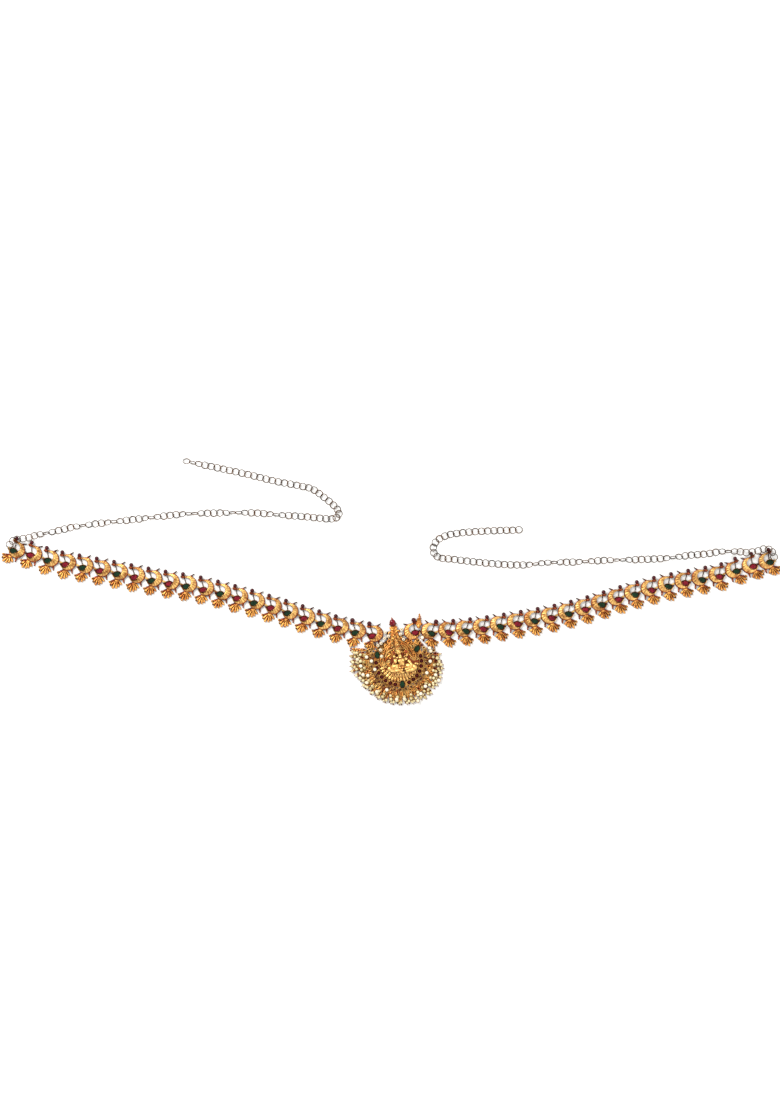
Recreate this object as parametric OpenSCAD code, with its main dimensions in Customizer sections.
/* [Belt links] */
// Radius of a link's round crescent
crescent_r = 7.8; // [7.2:0.1:8.6]
// Room left between a crescent and the next link, along the belt
nest_room = 0.9; // [0.6:0.1:1.6]
// Height of a link's rim above its flat back
rim_h = 1.9; // [1.8:0.1:2.4]
// Height of a link's domed crescent
dome_h = 3.2; // [3:0.1:4]
// Radius of a tail feather's rounded tip
feather_r = 1.1; // [0.9:0.05:1.2]
// Radius of the bird's head
head_r = 1.75; // [1.5:0.05:2]

/* [Belt stones] */
// Length of an oval belt stone
belt_stone_l = 6.4; // [5.8:0.1:6.8]
// Width of an oval belt stone
belt_stone_w = 4.5; // [4:0.1:4.8]
// Height of a stone's crown above its collet
crown_h = 0.8; // [0.5:0.1:1.2]
// Thickness of the metal wall round a stone
collet_wall = 0.6; // [0.5:0.05:0.75]
// Height of a belt stone's collet
collet_h = 2.9; // [2.7:0.1:3.4]

/* [Link joints] */
// Radius of the stud that joins two links
stud_r = 0.45; // [0.4:0.05:0.55]
// Play of the stud in its eye, all round
stud_play = 0.35; // [0.25:0.05:0.45]
// Thickness of the flat eye
eye_t = 0.7; // [0.6:0.05:0.8]

/* [Chains] */
// Outer diameter of a chain ring
chain_ring_d = 7.1; // [6.8:0.05:7.6]
// Thickness of the chain's wire
chain_wire_d = 0.43; // [0.36:0.01:0.5]
// Slack between two pulled chain rings
chain_slack = 0.28; // [0.26:0.01:0.4]

/* [Pendant] */
// Radius of the circle of rubies
ruby_circle_r = 21.5; // [20.5:0.5:24]
// Diameter of a round ruby in the circle
ruby_d = 2.9; // [2.4:0.1:3.3]
// Diameter of the ruby in the finial
top_ruby_d = 4.2; // [3.6:0.1:4.8]
// Length of an oval emerald in the circle
emerald_l = 6.2; // [5.6:0.1:6.8]
// Width of an oval emerald in the circle
emerald_w = 4.6; // [4:0.1:5]
// Thickness of the back plate
plate_t = 1.3; // [1:0.1:1.6]
// Length of a border leaf
leaf_l = 9; // [8:0.5:10]
// Width of a border leaf
leaf_w = 3.8; // [3.2:0.1:4.4]
// Diameter of a pearl beside the arch
pearl_d = 3.3; // [2.8:0.1:3.5]
// Diameter of a pearl in the fringe
fringe_pearl_d = 3.1; // [2.6:0.1:3.4]
// Height of the seated figure from its throne to the top of its crown
figure_h = 40; // [38:0.5:42]

/* [Hidden] */
SIDES = ["left", "right"];
LINKS_PER_SIDE = 21;
LINK_NAMES = [for (s = SIDES) for (n = [1 : LINKS_PER_SIDE]) str("link_", s, n < 10 ? "_0" : "_", n)];
$fn = 48;

// Clearances
stone_gap = 0.15;
seat_gap = 0.1;
lift_gap = 0.2;
// Overlap where two shapes of one solid meet
bite = 0.3;

// Colours
gold = [0.86, 0.62, 0.24];
orange_gold = [0.80, 0.48, 0.16];
dull_gold = [0.50, 0.42, 0.32];
ruby_red = [0.48, 0.04, 0.13];
emerald_green = [0.03, 0.24, 0.12];
pearl_cream = [0.93, 0.89, 0.78];

// Where each arm of the belt starts and how it bends, the right arm seen mirrored.
// Start is in shares of the ruby circle's radius from the circle's centre.
ARM_START = [[-1.051, 1.247], [-0.577, 1.344]];
// Play that each joint takes up: the left arm is drawn out, the right one pushed together
ARM_PLAY = [0.15, -0.1];
// Columns: share of the arm's length, angle by which the arm climbs outward
ARM_CLIMB = [
    [[0, 9], [0.1, 15], [0.2, 18], [0.35, 16], [0.47, 13.5], [0.55, 8.5], [0.63, 11],
     [0.8, 10.5], [0.85, 9.5], [0.93, 16], [1, 11]],
    [[0, 1.5], [0.1, 3.5], [0.2, 8], [0.35, 10], [0.47, 15.5], [0.55, 17.5], [0.62, 16],
     [0.7, 12.5], [0.84, 9.5], [0.89, 17], [1, 13.5]]];
// Columns: link number, angle by which it is turned further than its arm
LINK_TURN = [
    [[0, 0], [18, 0], [19, 6], [20, 15], [21, 27]],
    [[0, 28], [1, 0], [17, 0], [18, 4], [19, 15], [20, 18], [21, 17]]];

// Shape of a link in shares of the crescent's radius, from the crescent's centre
hole_at = [-0.3125, 0.1625];
hole_share = 0.5375;
throat_at = [-0.825, 0.1125];
throat_share = 0.575;
stone_at = [-0.2625, -0.3375];
stone_turn = 22;
head_at = [-0.894, 0.775];
neck_at = [-0.5, 0.78];
beak_tip_at = [-1.19, 0.66];
crest_at = [-0.894, 1.11];
strut_from = [-0.66, 0.66];
strut_to = [-0.33, 0];
side_cup_at = [-0.8375, -0.3625];
fan_root_at = [-0.2, -0.88];
stub_from = [0.6, -0.76];
stub_to = [0.74, -1.2];
spur_from = [0.05, 0.95];
spur_to = [0.43, 1.32];
stud_share = 0.7;
// Columns: direction, length as a share of the crescent's radius
feather_start = 0.115;
feather_step = 0.022;
feather_rise = 0.03;
FEATHERS = [[-41, 0.81], [-66, 0.93], [-84, 1.07], [-104, 1.2], [-124, 1.07], [-141, 0.8]];

// Heights in a link
eye_z = 0.45;
eye_play = 0.3;
eye_wall = 0.65;
pocket_top = eye_z + eye_t + eye_play;
pocket_play = 0.45;
stud_head_h = 0.25;
stud_head_r = stud_r + stud_play + 0.3;
eye_r = stud_r + stud_play + eye_wall;
seat_depth = 1.5;
socket_floor = collet_h - seat_depth;
head_lift = 0.05;
// Side of the head that nothing else meets, so the sphere's seam lies there
head_seam = -80;
crest_r = head_r - 0.2;
crest_h = 3;
crest_wall = 0.4;
crest_depth = 0.8;
side_cup_r = 0.95;
side_cup_h = 2.5;
side_cup_wall = 0.3;
side_cup_depth = 0.6;
strut_r = 0.38;
strut_z = 1.1;
loop_r = 1.05;
loop_wire_r = 0.35;

link_pitch = 2 * crescent_r + nest_room;

function unit(v) = v / norm(v);
function turn(v, a) = [v[0] * cos(a) - v[1] * sin(a), v[0] * sin(a) + v[1] * cos(a)];
function polar(r, a) = [r * cos(a), r * sin(a)];

function feather_tip(i) = crescent_r * fan_root_at + polar(crescent_r * FEATHERS[i][1], FEATHERS[i][0]);

// The belt's arms
function pitch_of(side) = link_pitch + ARM_PLAY[side];
function climb(side, step) = lookup((step - 0.5) / LINKS_PER_SIDE, ARM_CLIMB[side]);
function step_of(side, step) = pitch_of(side) * [-cos(climb(side, step)), sin(climb(side, step))];
function link_centre(side, n) = n == 0 ? ruby_circle_r * ARM_START[side]
    : link_centre(side, n - 1) + step_of(side, n);
function link_angle(side, n) = (climb(side, max(n, 1)) + climb(side, min(n + 1, LINKS_PER_SIDE))) / 2
    + lookup(n, LINK_TURN[side]);
function inner_way(side, n) = link_angle(side, n) - climb(side, n);
function outer_way(side, n) = 180 + link_angle(side, n) - climb(side, n + 1);

// Puts a link's own frame where it lies on its arm
module on_arm(side, n) {
    mirror([side, 0, 0])
        translate(link_centre(side, n))
            rotate(-link_angle(side, n))
                children();
}

// A round bar that tapers from one point to another at one height
module taper(from, to, z, r1, r2) {
    way = to - from;
    translate([from[0], from[1], z])
        rotate([0, 90, atan2(way[1], way[0])])
            cylinder(h = norm(way), r1 = r1, r2 = r2);
}

// Oval with four arcs
module oval(l, w) {
    end_r = 0.36 * w;
    reach = l / 2 - end_r;
    side_r = (reach * reach + w * w / 4 - end_r * end_r) / (w - 2 * end_r);
    join_x = reach + end_r * reach / (side_r - end_r);
    intersection() {
        translate([0, w / 2 - side_r])
            circle(side_r);
        translate([0, side_r - w / 2])
            circle(side_r);
        square([2 * join_x, w], center = true);
    }
    for (s = [-1, 1])
        translate([s * reach, 0])
            circle(end_r);
}

// Cut stone with a flat table and a ring of facets round it, its base at height 0
function gem_ring(l, w, share, z, sides) =
    [for (i = [0 : sides - 1]) [share * l / 2 * cos(i * 360 / sides), share * w / 2 * sin(i * 360 / sides), z]];

module gem(l, w, girdle_z, table_z, sides = 12) {
    rings = [gem_ring(l, w, 0.8, 0, sides), gem_ring(l, w, 1, girdle_z / 2, sides),
        gem_ring(l, w, 1, girdle_z, sides), gem_ring(l, w, 0.62, table_z, sides)];
    last = len(rings) - 1;
    polyhedron(
        points = [for (ring = rings) each ring],
        faces = concat(
            [[for (i = [0 : sides - 1]) i]],
            [[for (i = [sides - 1 : -1 : 0]) last * sides + i]],
            [for (k = [0 : last - 1]) for (i = [0 : sides - 1])
                [k * sides + i, (k + 1) * sides + i, (k + 1) * sides + (i + 1) % sides,
                 k * sides + (i + 1) % sides]]));
}

// Link
module crescent() {
    hole_r = hole_share * crescent_r;
    throat_r = throat_share * crescent_r;
    rise = dome_h - rim_h;
    ball_r = (crescent_r * crescent_r + rise * rise) / (2 * rise);
    difference() {
        rotate(180)
            intersection() {
                cylinder(h = dome_h + 1, r = crescent_r);
                translate([0, 0, dome_h - ball_r])
                    sphere(ball_r, $fn = 96);
            }
        translate(crescent_r * hole_at) {
            translate([0, 0, -1])
                cylinder(h = dome_h + 2, r = hole_r);
            translate([0, 0, rim_h])
                cylinder(h = rise + 1, r1 = hole_r, r2 = hole_r + rise + 1);
        }
        translate(concat(crescent_r * throat_at, [-1]))
            cylinder(h = dome_h + 2, r = throat_r);
    }
}

module head() {
    at = crescent_r * head_at;
    taper(crescent_r * neck_at, at, head_r - bite, 1, 1.1);
    translate([at[0], at[1], head_r + head_lift])
        rotate(head_seam)
            sphere(head_r);
    taper(at, crescent_r * beak_tip_at, head_r, 1, 0.3);
    translate(crescent_r * crest_at)
        cylinder(h = crest_h, r = crest_r);
    taper(crescent_r * strut_from, crescent_r * strut_to, strut_z, strut_r, strut_r);
}

module fan(feathers) {
    for (i = feathers) {
        tip = feather_tip(i);
        start = crescent_r * fan_root_at
            + polar(crescent_r * (feather_start + feather_step * i), FEATHERS[i][0]);
        taper(start, tip, feather_r + feather_rise * i, 0.6 * feather_r, 0.9 * feather_r);
        translate([tip[0], tip[1], feather_r + feather_rise * i])
            rotate(FEATHERS[i][0])
                sphere(feather_r);
    }
    taper(crescent_r * stub_from, crescent_r * stub_to, 1.1, 1, 0.5);
    taper(crescent_r * spur_from, crescent_r * spur_to, 1.1, 0.75, 0.35);
}

// From a stone's girdle to its collet's outside
stone_rim = stone_gap + collet_wall;
module stone_seat() {
    translate(crescent_r * stone_at)
        rotate(stone_turn)
            linear_extrude(collet_h)
                oval(belt_stone_l + 2 * stone_rim, belt_stone_w + 2 * stone_rim);
}

module stone_socket() {
    translate(concat(crescent_r * stone_at, [socket_floor]))
        rotate(stone_turn)
            linear_extrude(dome_h)
                oval(belt_stone_l + 2 * stone_gap, belt_stone_w + 2 * stone_gap);
}

module belt_stone() {
    translate(concat(crescent_r * stone_at, [socket_floor + seat_gap]))
        rotate(stone_turn)
            gem(belt_stone_l, belt_stone_w, collet_h - socket_floor - seat_gap,
                collet_h - socket_floor - seat_gap + crown_h);
}

// Arm that reaches from the collet to the next link's stud and ends in a flat eye
tongue_half_w = 0.6 * eye_r;
module tongue(way, reach) {
    from = crescent_r * stone_at;
    to = polar(reach, way);
    bar = to - from;
    translate([0, 0, eye_z])
        difference() {
            union() {
                translate(to)
                    cylinder(h = eye_t, r = eye_r);
                translate(from)
                    rotate(atan2(bar[1], bar[0]))
                        translate([0, -tongue_half_w, 0])
                            cube([norm(bar), 2 * tongue_half_w, eye_t]);
            }
            translate([to[0], to[1], -1])
                cylinder(h = eye_t + 2, r = stud_r + stud_play);
        }
}

// Room under the crescent for the next link's eye
module pocket(way) {
    room = eye_r + pocket_play;
    translate(concat(polar(stud_share * crescent_r, way), [-1]))
        rotate(way)
            translate([-room, -room, 0])
                cube([crescent_r + room, 2 * room, pocket_top + 1]);
}

module stud(way) {
    translate(polar(stud_share * crescent_r, way)) {
        cylinder(h = stud_head_h, r = stud_head_r);
        cylinder(h = pocket_top + bite, r = stud_r);
    }
}

// Upright loop at the belt's end that carries the chain
module chain_loop(side) {
    at = crescent_r * loop_share;
    way = loop_way(side) + link_angle(side, LINKS_PER_SIDE);
    translate(concat(at, [chain_z]))
        rotate([90, 0, way])
            rotate_extrude()
                translate([loop_r, 0])
                    circle(loop_wire_r, $fn = 24);
    taper(crescent_r * loop_lug_share, at - polar(loop_r, way), chain_z, loop_wire_r + 0.3, loop_wire_r + 0.15);
}

module link_metal(side, n, feathers = [0 : len(FEATHERS) - 1]) {
    last = n == LINKS_PER_SIDE;
    difference() {
        union() {
            crescent();
            head();
            fan(feathers);
            stone_seat();
            if (last)
                chain_loop(side);
            else {
                translate(crescent_r * side_cup_at)
                    cylinder(h = side_cup_h, r = side_cup_r);
                tongue(outer_way(side, n), pitch_of(side) - stud_share * crescent_r);
            }
        }
        stone_socket();
        translate(concat(crescent_r * crest_at, [crest_h - crest_depth]))
            cylinder(h = crest_h, r = crest_r - crest_wall);
        if (!last)
            translate(concat(crescent_r * side_cup_at, [side_cup_h - side_cup_depth]))
                cylinder(h = side_cup_h, r = side_cup_r - side_cup_wall);
        if (n > 0)
            pocket(inner_way(side, n));
    }
    if (n > 0)
        stud(inner_way(side, n));
}

module belt_link(side, n) {
    color(gold)
        laid_out()
            on_arm(side, n)
                link_metal(side, n);
}

// Stones alternate along each arm, and the innermost ones are rubies
module belt_stones(kind, tint) {
    color(tint)
        laid_out()
            for (side = [0, 1])
                for (n = [kind : 2 : LINKS_PER_SIDE])
                    on_arm(side, n)
                        belt_stone();
}

// Chains
chain_mid_r = (chain_ring_d - chain_wire_d) / 2;
chain_wire_r = chain_wire_d / 2;
chain_pitch = chain_ring_d - 2 * chain_wire_d - chain_slack;
lying_tilt = 20;
leaning_tilt = 42;
standing_tilt = 70;
floor_gap = 0.1;
first_rise = 1.15;
bend_share = 0.0036;
loop_lift = 0.02;
chain_z = loop_r + loop_wire_r + loop_lift;
loop_share = [-0.98, -0.44];
loop_lug_share = [-0.55, -0.45];
// Numbers of the rings that stand on edge, on each chain
STANDING = [[7, 13, 18, 24, 30, 31, 37, 38, 44, 81], [9, 18, 26, 27, 32, 37, 40]];
// Route of each chain from the end link's centre, the right one seen mirrored.
// Columns: distance along X, distance along Y, height above the chain lying flat.
CHAIN_ROUTE = [
    [[-5.7, 7.8, 2], [-0.7, 10, 4.1], [4.6, 10.8, 4.8], [10, 11.3, 3.9], [15.5, 13.2, 2.1], [21, 14.8, 0.5],
     [33.5, 17.2, 0], [52.5, 21.7, 0], [71.5, 24.6, 0], [100, 27.9, 0], [128.5, 31.1, 0], [157, 34.2, 0],
     [190, 35.3, 0], [223.5, 35.5, 0], [247, 33.6, 0], [271, 32, 0], [290, 30.2, 0], [299.5, 29.8, 0],
     [305.5, 32.5, 0], [304.6, 38.2, 0], [299.3, 44, 0], [289.6, 51.8, 0], [280.5, 58, 0],
     [268, 61.2, 0], [244.5, 65.7, 0], [220.5, 71.6, 0], [191, 78.1, 0], [167.5, 83, 0], [152.5, 86.5, 0]],
    [[-4.7, 9.6, 3.2], [1.5, 11.9, 4.8], [7.8, 10, 4.6], [13.8, 8.8, 4.6], [19.6, 8.2, 3.6], [27, 9.2, 1.5],
     [36, 9.3, 0.1], [45, 9, 0], [58.5, 6.8, 0], [71.8, 5.8, 0], [95.5, 2.9, 0], [119.3, 1.7, 0],
     [151.5, 0.9, 0], [181, -0.7, 0], [207.5, -1.3, 0], [226.5, -3.3, 0], [243, -3.4, 0], [262, -2.1, 0],
     [281, -0.2, 0], [300, 2.1, 0], [309, 3, 0], [314.7, 6, 0], [316.6, 11.7, 0], [314.2, 18.3, 0],
     [308.3, 22.6, 0], [299, 25.7, 0], [280, 27.9, 0], [252, 29.3, 0], [238, 29.6, 0], [226.5, 31.4, 0]]];

function loop_place(side) = turn(crescent_r * loop_share, -link_angle(side, LINKS_PER_SIDE));
function flat(p) = [p[0], p[1]];
function loop_way(side) = let (way = flat(CHAIN_ROUTE[side][0]) - loop_place(side)) atan2(way[1], way[0]);
function first_ring(side) = concat(loop_place(side) + polar(chain_mid_r, loop_way(side)), [first_rise]);
function route(side) = concat([first_ring(side)], CHAIN_ROUTE[side]);

// Smooth curve through the route's points
function blend(a, b, c, d, t) = ((2 * b) + (c - a) * t + (2 * a - 5 * b + 4 * c - d) * t * t
    + (3 * b - a - 3 * c + d) * t * t * t) / 2;
spline_steps = 12;
function smooth(p) = let (m = len(p) - 1) concat(
    [for (i = [0 : m - 1]) for (j = [0 : spline_steps - 1])
        blend(p[max(i - 1, 0)], p[i], p[i + 1], p[min(i + 2, m)], j / spline_steps)], [p[m]]);
function distances(p) = [for (i = 0, d = 0; i < len(p);
    i = i + 1, d = d + (i < len(p) ? norm(p[i] - p[i - 1]) : 0)) d];
function column(keys, p, k) = [for (i = [0 : len(keys) - 1]) [keys[i], p[i][k]]];
function along(d, keys, p) = [for (k = [0 : 2]) lookup(d, column(keys, p, k))];
// Angle by which a curve turns over two chain pitches round a place
function bend(d, keys, p) = let (
        here = along(d, keys, p),
        ahead = unit(along(d + chain_pitch, keys, p) - here),
        behind = unit(here - along(d - chain_pitch, keys, p)))
    acos(min(1, ahead * behind));
// Rings sit closer together where the chain turns
function stride(d, keys, p) = let (sharpest = max(bend(d, keys, p), bend(d + chain_pitch, keys, p)))
    chain_pitch * (1 - bend_share * sharpest);
function places(keys, p) = let (total = keys[len(keys) - 1] - chain_pitch)
    [for (d = 0; d < total; d = d + stride(d + 0.01, keys, p)) d];
function nearest(i, list) = min([for (k = list) abs(k - i)]);
function tilt(side, i) = let (gap = nearest(i, STANDING[side]))
    (gap == 0 ? standing_tilt : gap == 1 ? leaning_tilt : lying_tilt) * (i % 2 == 0 ? 1 : -1);
// Centres of all rings of a chain, evenly spaced along its curve
function ring_centres(side) = let (
        curve = smooth(route(side)),
        keys = distances(curve),
        spots = places(keys, curve))
    [for (i = [0 : len(spots) - 1]) let (rise = chain_mid_r * sin(abs(tilt(side, i))))
        along(spots[i], keys, curve) + [0, 0, floor_gap + chain_wire_r + rise]];

// A ring lies in the plane of its chain's way and of a line tilted from the level
function way_at(centres, i) = centres[min(i + 1, len(centres) - 1)] - centres[max(i - 1, 0)];
function ring_axes(way, angle) = let (
        ahead = unit(way),
        across = unit(cross([0, 0, 1], ahead)),
        side_way = across * cos(angle) + cross(ahead, across) * sin(angle))
    [ahead, side_way, cross(ahead, side_way)];

module chain_ring(centre, way, angle) {
    axes = ring_axes(way, angle);
    multmatrix([for (k = [0 : 2]) [axes[0][k], axes[1][k], axes[2][k], centre[k]]])
        rotate_extrude()
            translate([chain_mid_r, 0])
                circle(chain_wire_r, $fn = 24);
}

module chain_rings(side, from_end, to_end) {
    centres = ring_centres(side);
    last = len(centres) - 1;
    color(dull_gold)
        laid_out()
            mirror([side, 0, 0])
                translate(link_centre(side, LINKS_PER_SIDE))
                    for (i = [last - from_end : last - to_end])
                        if (i >= 0)
                            chain_ring(centres[i], way_at(centres, i), tilt(side, i));
}

module chain(side) {
    chain_rings(side, len(ring_centres(side)) - 1, 1);
}

// The plain ring that a hook catches at the chain's free end
module chain_end(side) {
    chain_rings(side, 0, 0);
}

// Pendant, in its own frame with the circle of rubies centred on the origin and its point upward
pendant_lean = 9;
ring_in_r = ruby_circle_r - 2.1;
ring_out_r = ruby_circle_r + 2.3;
ring_h = 2.4;
ring_top = 0.52 * ruby_circle_r;
ruby_wall = 0.5;
ruby_cup_r = ruby_d / 2 + stone_gap + ruby_wall;
ruby_cup_h = 3.4;
ruby_socket = ruby_cup_h - 1.4;
emerald_wall = 0.7;
emerald_cup_h = 3.6;
emerald_seat = emerald_cup_h - seat_depth;
// Angles from the circle's lowest point
ruby_first = 18;
ruby_step = 13.2;
RUBY_ANGLES = [for (s = [-1, 1]) for (k = [0 : 6]) -90 + s * (ruby_first + ruby_step * k)];
// Columns: angle from the lowest point, angle of the stone's long side
EMERALDS = [[0, 90], [-117.4, 90], [117.4, 50]];
scallop_r = 2.6;
scallop_h = 2.1;
scallop_circle_r = ring_out_r + scallop_r - 0.1;
scallop_step = 12;
SCALLOPS = [for (k = [-9.5 : 1 : 8.5]) -90 + scallop_step * k];
leaf_t = 1.6;
leaf_in_r = scallop_circle_r + 1;
leaf_step = 11;
LEAVES = [for (k = [-9.5 : 1 : 7.5]) -90 + leaf_step * k];
short_leaf_share = 0.6;
SHORT_LEAVES = [-90 - leaf_step * 10.5, -90 + leaf_step * 8.5];
// Half outline of a leaf: share of its length, share of half its width
LEAF_SHAPE = [[0, 0.55], [0.2, 0.95], [0.42, 1], [0.65, 0.75], [0.85, 0.35], [1, 0.1]];
pin_r = 0.35;
pearl_play = 0.2;
fringe_z = fringe_pearl_d / 2 + 0.15;
fringe_reach = leaf_in_r + leaf_l + 0.35 + fringe_pearl_d / 2;
tip_r = 0.75;
fringe_tip_at = fringe_reach + fringe_pearl_d / 2 + tip_r;
// Half outline of the arch in shares of the ruby circle's radius: height, half width
ARCH = [[0.09, 0.72], [0.37, 0.65], [0.56, 0.585], [0.68, 0.5], [0.84, 0.345], [0.98, 0.235],
    [1.16, 0.17], [1.4, 0.145], [1.66, 0.11]];
arch_h = 2.7;
arch_rim = 1.5;
arch_inner_rows = 6;
arch_foot_r = 1.9;
arch_foot_rise = 0.6;
top_ruby_at = 1.745;
top_wall = 0.6;
top_cup_h = 3.4;
top_seat = top_cup_h - 1.6;
spike_tip = 2;
finial_knob_r = 1.5;
finial_knob_out = 2.4;
finial_knob_at = 1.53;
// Places of the pearls beside the arch, in shares of the ruby circle's radius
ARCH_PEARLS = [[-0.712, 0.651], [-0.647, 0.94], [-0.8, 0.865], [-0.456, 1.13], [-0.391, 1.391],
    [-0.274, 1.205], [0.344, 1.4], [0.265, 1.209], [0.362, 0.958]];
arch_pearl_z = plate_t + lift_gap + pearl_d / 2;
stem_r = 0.6;
stem_z = 0.65;
stem_drop = 0.05;
stem_foot_r = 0.9;
// The belt's links that are soldered to the pendant keep only some feathers
SOLDERED_FEATHERS = [[1 : 5], [0 : 2]];

function place(share) = ruby_circle_r * share;
function half(rows, inset, count) = [for (i = [0 : count - 1]) [place(rows[i][1]) - inset, place(rows[i][0])]];
function whole(h) = concat(h, [for (i = [len(h) - 1 : -1 : 0]) [-h[i][0], h[i][1]]]);

module in_pendant() {
    rotate(pendant_lean)
        children();
}

module border_leaf(way, length) {
    h = [for (row = LEAF_SHAPE) [leaf_in_r + row[0] * length, row[1] * leaf_w / 2]];
    rotate(way) {
        linear_extrude(leaf_t)
            polygon(concat(h, [for (i = [len(h) - 1 : -1 : 0]) [h[i][0], -h[i][1]]]));
        taper([leaf_in_r, 0], [leaf_in_r + 0.8 * length, 0], leaf_t - 0.1, 0.9, 0.4);
    }
}

// Thin pin that reaches out past a leaf, holds a pearl and ends in a knob
module fringe_pin(way) {
    rotate(way) {
        taper([leaf_in_r + 0.7 * leaf_l, 0], [fringe_tip_at, 0], fringe_z, pin_r, pin_r);
        translate([fringe_tip_at, 0, fringe_z])
            sphere(tip_r);
    }
}

module drilled_pearl(d) {
    difference() {
        sphere(d / 2, $fn = 16);
        cylinder(h = 2 * d, r = pin_r + pearl_play, center = true, $fn = 16);
    }
}

module fringe_pearl(way) {
    rotate(way)
        translate([fringe_reach, 0, fringe_z])
            rotate([0, 90, 0])
                drilled_pearl(fringe_pearl_d);
}

module round_gem(d, socket, top) {
    translate([0, 0, socket + seat_gap])
        gem(d, d, top - socket - seat_gap, top - socket - seat_gap + 0.9 * crown_h, 10);
}

module emerald_cup() {
    linear_extrude(emerald_cup_h)
        oval(emerald_l + 2 * (stone_gap + emerald_wall), emerald_w + 2 * (stone_gap + emerald_wall));
}

module emerald_socket() {
    translate([0, 0, emerald_seat])
        linear_extrude(emerald_cup_h)
            oval(emerald_l + 2 * stone_gap, emerald_w + 2 * stone_gap);
}

module at_emerald(e) {
    translate(polar(ruby_circle_r, e[0] - 90))
        rotate(e[1])
            children();
}

module arch() {
    linear_extrude(plate_t)
        polygon(whole(half(ARCH, bite, len(ARCH))));
    linear_extrude(arch_h)
        difference() {
            polygon(whole(half(ARCH, 0, len(ARCH))));
            polygon(concat([[place(ARCH[0][1]) - arch_rim, 0]], half(ARCH, arch_rim, arch_inner_rows),
                [for (i = [arch_inner_rows - 1 : -1 : 0]) [arch_rim - place(ARCH[i][1]), place(ARCH[i][0])]],
                [[arch_rim - place(ARCH[0][1]), 0]]));
        }
    for (s = [-1, 1])
        translate([s * (place(ARCH[0][1]) - arch_rim / 2), place(ARCH[0][0]) - 1])
            cylinder(h = arch_h + arch_foot_rise, r = arch_foot_r);
}

module finial() {
    translate([0, place(top_ruby_at)])
        cylinder(h = top_cup_h, r = top_ruby_d / 2 + stone_gap + top_wall);
    taper([0, place(top_ruby_at)], [0, place(spike_tip)], 1.7, 1.5, 0.3);
    for (s = [-1, 1])
        translate([s * finial_knob_out, place(finial_knob_at), finial_knob_r])
            rotate(90 - 90 * s)
                sphere(finial_knob_r);
}

module pendant_body() {
    cylinder(h = plate_t, r = ring_out_r - 0.1);
    difference() {
        cylinder(h = ring_h, r = ring_out_r);
        translate([0, 0, plate_t])
            cylinder(h = ring_h, r = ring_in_r);
        translate([-ruby_circle_r * 2, ring_top, plate_t / 2])
            cube([ruby_circle_r * 4, ruby_circle_r * 2, ring_h]);
        translate([-ruby_circle_r * 2, ring_top, -1])
            cube([ruby_circle_r * 4, ruby_circle_r * 2, ring_h]);
    }
    arch();
    finial();
    for (a = RUBY_ANGLES)
        translate(polar(ruby_circle_r, a))
            cylinder(h = ruby_cup_h, r = ruby_cup_r);
    for (e = EMERALDS)
        at_emerald(e)
            emerald_cup();
    for (a = SCALLOPS)
        translate(polar(scallop_circle_r, a)) {
            cylinder(h = scallop_h, r = scallop_r);
            cylinder(h = scallop_h + 0.6, r = 0.5 * scallop_r);
        }
    for (a = LEAVES) {
        border_leaf(a, leaf_l);
        fringe_pin(a);
    }
    for (a = SHORT_LEAVES)
        border_leaf(a, leaf_l * short_leaf_share);
}

module pearl_stems() {
    for (p = ARCH_PEARLS) {
        taper(place([0, p[1] - stem_drop]), place(p), stem_z, stem_r, stem_r);
        translate(place(p)) {
            cylinder(h = plate_t, r = stem_foot_r);
            cylinder(h = arch_pearl_z + pearl_d / 2 + lift_gap, r = pin_r);
        }
    }
}

// Strokes that join the soldered links to the pendant, in layout directions
// Columns: start, end, both in shares of the ruby circle's radius
STROKES = [[[-1.1, 1.0], [-0.93, 0.45]], [[-0.62, 1.31], [-0.2, 1.05]], [[0.4, 1.25], [0, 1.1]],
    [[0.75, 1.12], [0.78, 0.7]]];
stroke_r = 0.7;
stroke_z = 0.75;
ornament_z = 1.55;
// Bars that cross each lie a little higher than the last
bar_rise = 0.04;
// Upright leaves beside the right soldered link. Columns: start, end, radius at start, radius at end
ORNAMENT = [[[0.86, 1.5], [0.93, 1.86], 1.5, 1.3], [[0.93, 1.86], [0.9, 2.15], 1.2, 0.4],
    [[0.8, 1.6], [0.86, 1.94], 1.0, 0.9], [[0.9, 1.62], [1.02, 1.72], 0.9, 1.1]];

module joins() {
    for (k = [0 : len(STROKES) - 1])
        taper(place(STROKES[k][0]), place(STROKES[k][1]), stroke_z + bar_rise * k, stroke_r, stroke_r);
    for (k = [0 : len(ORNAMENT) - 1])
        taper(place(ORNAMENT[k][0]), place(ORNAMENT[k][1]), ornament_z + bar_rise * k,
            ORNAMENT[k][2], ORNAMENT[k][3]);
}

module pendant_frame() {
    color(gold)
        laid_out()
            difference() {
                union() {
                    in_pendant() {
                        pendant_body();
                        pearl_stems();
                    }
                    joins();
                    for (side = [0, 1])
                        on_arm(side, 0)
                            link_metal(side, 0, SOLDERED_FEATHERS[side]);
                }
                in_pendant() {
                    for (a = RUBY_ANGLES)
                        translate(concat(polar(ruby_circle_r, a), [ruby_socket]))
                            cylinder(h = ruby_cup_h, r = ruby_d / 2 + stone_gap);
                    translate([0, place(top_ruby_at), top_seat])
                        cylinder(h = top_cup_h, r = top_ruby_d / 2 + stone_gap);
                    for (e = EMERALDS)
                        at_emerald(e)
                            emerald_socket();
                }
            }
}

// Seated figure, its throne at the bottom. Places in shares of its height, from its seat.
figure_at = [0.13, -0.2];
figure_back = plate_t + lift_gap;
figure_mid = figure_back + 2.2;
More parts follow.
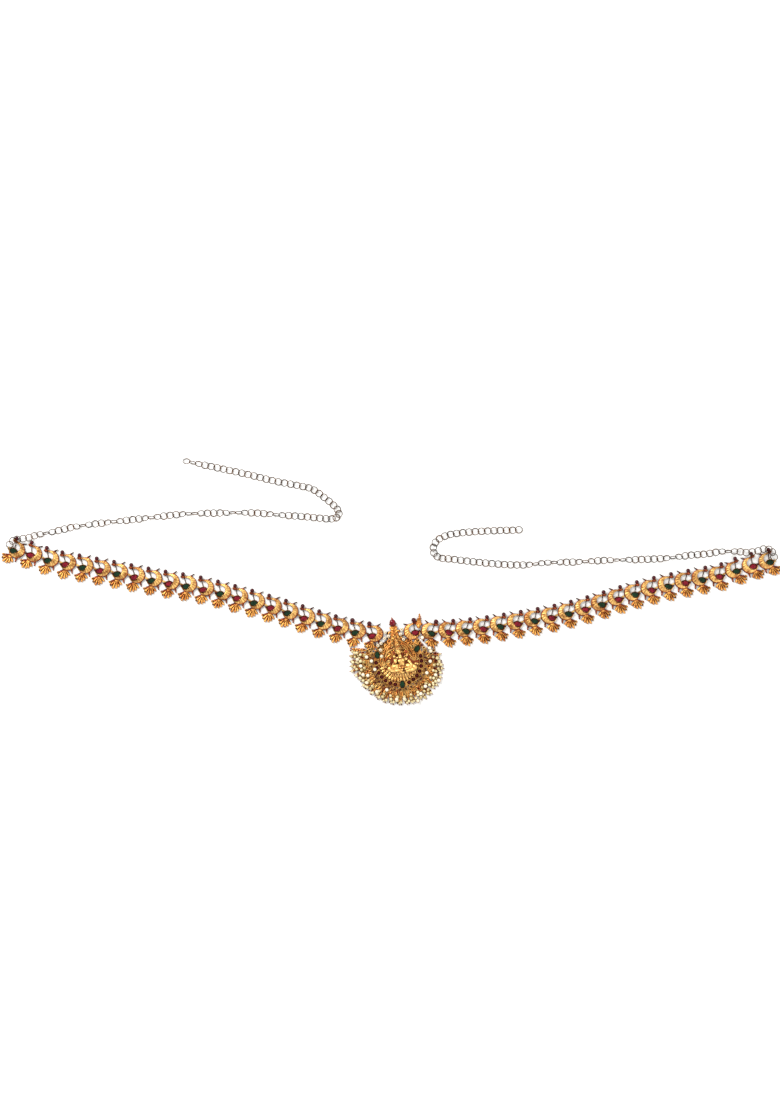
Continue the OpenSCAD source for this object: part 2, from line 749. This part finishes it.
// Columns: start, end, radius at start, radius at end, share of height above its back
LIMBS = [
    [[0, -0.02], [-0.3, -0.015], 0.075, 0.062, 1], [[0.01, -0.025], [0.28, -0.06], 0.077, 0.064, 1],
    [[-0.28, -0.035], [0.02, -0.085], 0.05, 0.042, 1.25], [[0.26, -0.08], [0.06, -0.1], 0.049, 0.04, 1.3],
    [[0, -0.02], [-0.01, 0.17], 0.075, 0.098, 1.1], [[-0.02, 0.17], [-0.03, 0.3], 0.045, 0.04, 1.05],
    [[-0.1, 0.18], [-0.19, 0.08], 0.042, 0.035, 1.0], [[-0.19, 0.08], [-0.15, 0.13], 0.036, 0.05, 1.5],
    [[0.09, 0.17], [0.19, 0.07], 0.043, 0.036, 1.02], [[0.19, 0.07], [0.21, 0.02], 0.037, 0.045, 1.55],
    [[-0.09, 0.2], [-0.16, 0.25], 0.035, 0.03, 0.8], [[-0.16, 0.24], [-0.15, 0.35], 0.032, 0.06, 0.85],
    [[0.08, 0.2], [0.15, 0.24], 0.036, 0.031, 0.82], [[0.15, 0.23], [0.14, 0.33], 0.033, 0.061, 0.87],
    [[-0.03, 0.4], [-0.07, 0.76], 0.085, 0.012, 1.3]];
// Columns: place, radius, share of height
KNOBS = [[[-0.3, -0.012], 0.07, 1.02], [[0.285, -0.065], 0.072, 1.04], [[-0.035, 0.355], 0.078, 1.3],
    [[-0.1, 0.36], 0.022, 1.1], [[0.035, 0.35], 0.023, 1.12]];
// Rows of lotus petals. Columns: height, petals, radius at tip, radius at root, share of height
PETAL_ROWS = [[-0.16, 9, 0.052, 0.045, 0.85], [-0.215, 9, 0.05, 0.04, 0.6]];
petal_pitch = 0.053;
throne_mid = 0.02;
petal_up = 0.05;
petal_down = 0.01;
petal_rise = 0.01;
petal_grow = 0.03;

module figure() {
    for (l = LIMBS)
        taper(figure_h * l[0], figure_h * l[1], figure_mid * l[4], figure_h * l[2], figure_h * l[3]);
    for (k = KNOBS)
        translate([figure_h * k[0][0], figure_h * k[0][1], figure_mid * k[2]])
            sphere(figure_h * k[1]);
    for (row = PETAL_ROWS)
        for (i = [0 : row[1] - 1]) {
            at = [(i - (row[1] - 1) / 2) * petal_pitch + throne_mid, row[0]];
            tall = row[4] + petal_rise * (i % 2);
            taper(figure_h * (at + [0, petal_up]), figure_h * (at - [0, petal_down]), figure_mid * tall,
                figure_h * row[3], figure_h * row[2] * (1 + petal_grow * (i % 2)));
        }
}

module deity_figure() {
    color(gold)
        laid_out()
            in_pendant()
                translate(ruby_circle_r * figure_at)
                    intersection() {
                        figure();
                        translate([-figure_h, -figure_h, figure_back])
                            cube([2 * figure_h, 2 * figure_h, figure_h]);
                    }
    }
    
    module pendant_rubies() {
        color(ruby_red)
            laid_out()
            in_pendant() {
                for (a = RUBY_ANGLES)
                    translate(polar(ruby_circle_r, a))
                        round_gem(ruby_d, ruby_socket, ruby_cup_h);
                translate([0, place(top_ruby_at)])
                    round_gem(top_ruby_d, top_seat, top_cup_h);
            }
}

module pendant_emeralds() {
    color(emerald_green)
        laid_out()
            in_pendant()
                for (e = EMERALDS)
                    at_emerald(e)
                        translate([0, 0, emerald_seat + seat_gap])
                            gem(emerald_l, emerald_w, seat_depth - seat_gap, seat_depth - seat_gap + crown_h);
}

module arch_pearls() {
    color(pearl_cream)
        laid_out()
            in_pendant()
                for (p = ARCH_PEARLS)
                    translate(concat(place(p), [arch_pearl_z]))
                        drilled_pearl(pearl_d);
}

module pearl_fringe() {
    color(pearl_cream)
        laid_out()
            in_pendant()
                for (a = LEAVES)
                    fringe_pearl(a);
}

// Shift that puts the belt's middle on the origin: the belt reaches furthest at the end links' feathers,
// at the top with the left chain and at the bottom with the fringe
function arm_end(side) = link_centre(side, LINKS_PER_SIDE)[0] - feather_r
    + min([for (i = [0 : len(FEATHERS) - 1]) turn(feather_tip(i), -link_angle(side, LINKS_PER_SIDE))[0]]);
function chain_top(side) = let (centres = ring_centres(side), last = len(centres) - 1)
    link_centre(side, LINKS_PER_SIDE)[1] + chain_wire_r
    + max([for (i = [0 : last]) let (axes = ring_axes(way_at(centres, i), tilt(side, i)))
        centres[i][1] + chain_mid_r * norm([axes[0][1], axes[1][1]])]);
fringe_end = fringe_tip_at * min([for (a = LEAVES) sin(a + pendant_lean)]) - tip_r;
middle = [(arm_end(0) - arm_end(1)) / 2, (max(chain_top(0), chain_top(1)) + fringe_end) / 2, 0];
module laid_out() {
    translate(-middle)
        children();
}

for (side = [0, 1])
    for (n = [1 : LINKS_PER_SIDE])
        belt_link(side, n);
belt_stones(0, ruby_red);  // belt_rubies
belt_stones(1, emerald_green);  // belt_emeralds
pendant_frame();
deity_figure();
pendant_rubies();
pendant_emeralds();
arch_pearls();
pearl_fringe();
chain(0);  // chain_left
chain(1);  // chain_right
chain_end(0);  // chain_left_end
chain_end(1);  // chain_right_end
